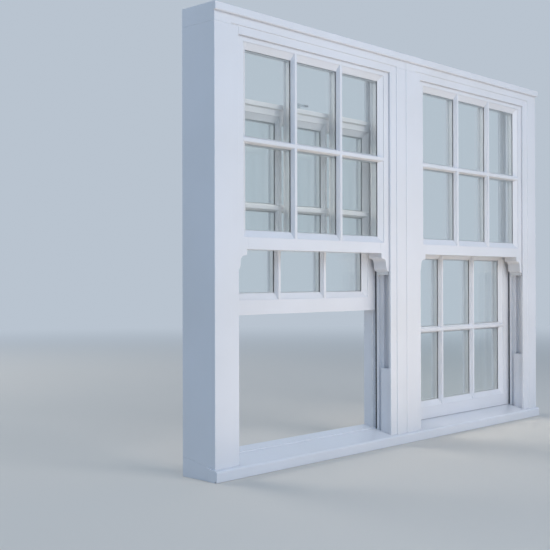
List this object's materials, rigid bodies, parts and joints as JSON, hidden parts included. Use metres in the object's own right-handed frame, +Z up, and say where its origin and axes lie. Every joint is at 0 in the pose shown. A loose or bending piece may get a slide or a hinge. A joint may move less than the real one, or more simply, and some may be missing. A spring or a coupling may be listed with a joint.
{
  "type": "sash window",
  "caption": "Twin timber sash window in one frame, two lights side by side with sliding sashes, glazing bars, horned meeting rails and a sloping sill; one lower sash stands raised.",
  "frame": {"origin": "on the underside of the sill, on the joint between the two lights and in the plane of the frame's outer face", "axes": "+X across the window to the right as seen from the weather side, +Y from the weather side into the room, +Z up"},
  "size_m": [1.568, 0.152, 1.15],
  "materials": {
    "white_paint": "satin white paint on softwood",
    "glass": "clear sealed units",
    "spacer_metal": "mill",
    "guide_plastic": "white",
    "balance_tube": "white",
    "balance_steel": "zinc plated",
    "chrome": "polished"
  },
  "bodies": {
    "frame": {"balance_tubes_left": "balance_tube", "balance_tubes_right": "balance_tube", "guide_strips_left": "guide_plastic", "guide_strips_right": "guide_plastic", "head_left": "white_paint", "head_right": "white_paint", "head_strip": "white_paint", "jamb_left_middle": "white_paint", "jamb_left_outer": "white_paint", "jamb_right_middle": "white_paint", "jamb_right_outer": "white_paint", "parting_bead_left_middle": "white_paint", "parting_bead_left_outer": "white_paint", "parting_bead_right_middle": "white_paint", "parting_bead_right_outer": "white_paint", "sill": "white_paint", "stop_block_left_middle": "white_paint", "stop_block_left_outer": "white_paint", "stop_block_right_middle": "white_paint", "stop_block_right_outer": "white_paint"},
    "upper_left_sash": {"upper_left_balance_rods": "balance_steel", "upper_left_bars": "white_paint", "upper_left_bottom_rail": "white_paint", "upper_left_fastener_keep": "chrome", "upper_left_glass": "glass", "upper_left_spacers": "spacer_metal", "upper_left_stile_left": "white_paint", "upper_left_stile_right": "white_paint", "upper_left_top_rail": "white_paint"},
    "upper_right_sash": {"upper_right_balance_rods": "balance_steel", "upper_right_bars": "white_paint", "upper_right_bottom_rail": "white_paint", "upper_right_fastener_keep": "chrome", "upper_right_glass": "glass", "upper_right_spacers": "spacer_metal", "upper_right_stile_left": "white_paint", "upper_right_stile_right": "white_paint", "upper_right_top_rail": "white_paint"},
    "lower_left_sash": {"lower_left_balance_rods": "balance_steel", "lower_left_bars": "white_paint", "lower_left_bottom_rail": "white_paint", "lower_left_fastener_base": "chrome", "lower_left_glass": "glass", "lower_left_lifts": "chrome", "lower_left_spacers": "spacer_metal", "lower_left_stile_left": "white_paint", "lower_left_stile_right": "white_paint", "lower_left_top_rail": "white_paint"},
    "lower_right_sash": {"lower_right_balance_rods": "balance_steel", "lower_right_bars": "white_paint", "lower_right_bottom_rail": "white_paint", "lower_right_fastener_base": "chrome", "lower_right_glass": "glass", "lower_right_lifts": "chrome", "lower_right_spacers": "spacer_metal", "lower_right_stile_left": "white_paint", "lower_right_stile_right": "white_paint", "lower_right_top_rail": "white_paint"},
    "fastener_left": {"lower_left_fastener_arm": "chrome"},
    "fastener_right": {"lower_right_fastener_arm": "chrome"}
  },
  "joints": [
    {"name": "lower_left_slide", "type": "slide", "parent": "frame", "child": "lower_left_sash", "axis": [0, 0, 1], "range_m": [-0.35, 0.13]},
    {"name": "lower_right_slide", "type": "slide", "parent": "frame", "child": "lower_right_sash", "axis": [0, 0, 1], "range_m": [0, 0.48]},
    {"name": "upper_left_slide", "type": "slide", "parent": "frame", "child": "upper_left_sash", "axis": [0, 0, 1], "range_m": [-0.27, 0]},
    {"name": "upper_right_slide", "type": "slide", "parent": "frame", "child": "upper_right_sash", "axis": [0, 0, 1], "range_m": [-0.27, 0]},
    {"name": "fastener_left_turn", "type": "hinge", "parent": "lower_left_sash", "child": "fastener_left", "pos_m": [-0.386, 0.092, 0.9595], "axis": [0, 0, 1], "range_deg": [-90, 0]},
    {"name": "fastener_right_turn", "type": "hinge", "parent": "lower_right_sash", "child": "fastener_right", "pos_m": [0.386, 0.092, 0.6095], "axis": [0, 0, 1], "range_deg": [-90, 0]}
  ]
}
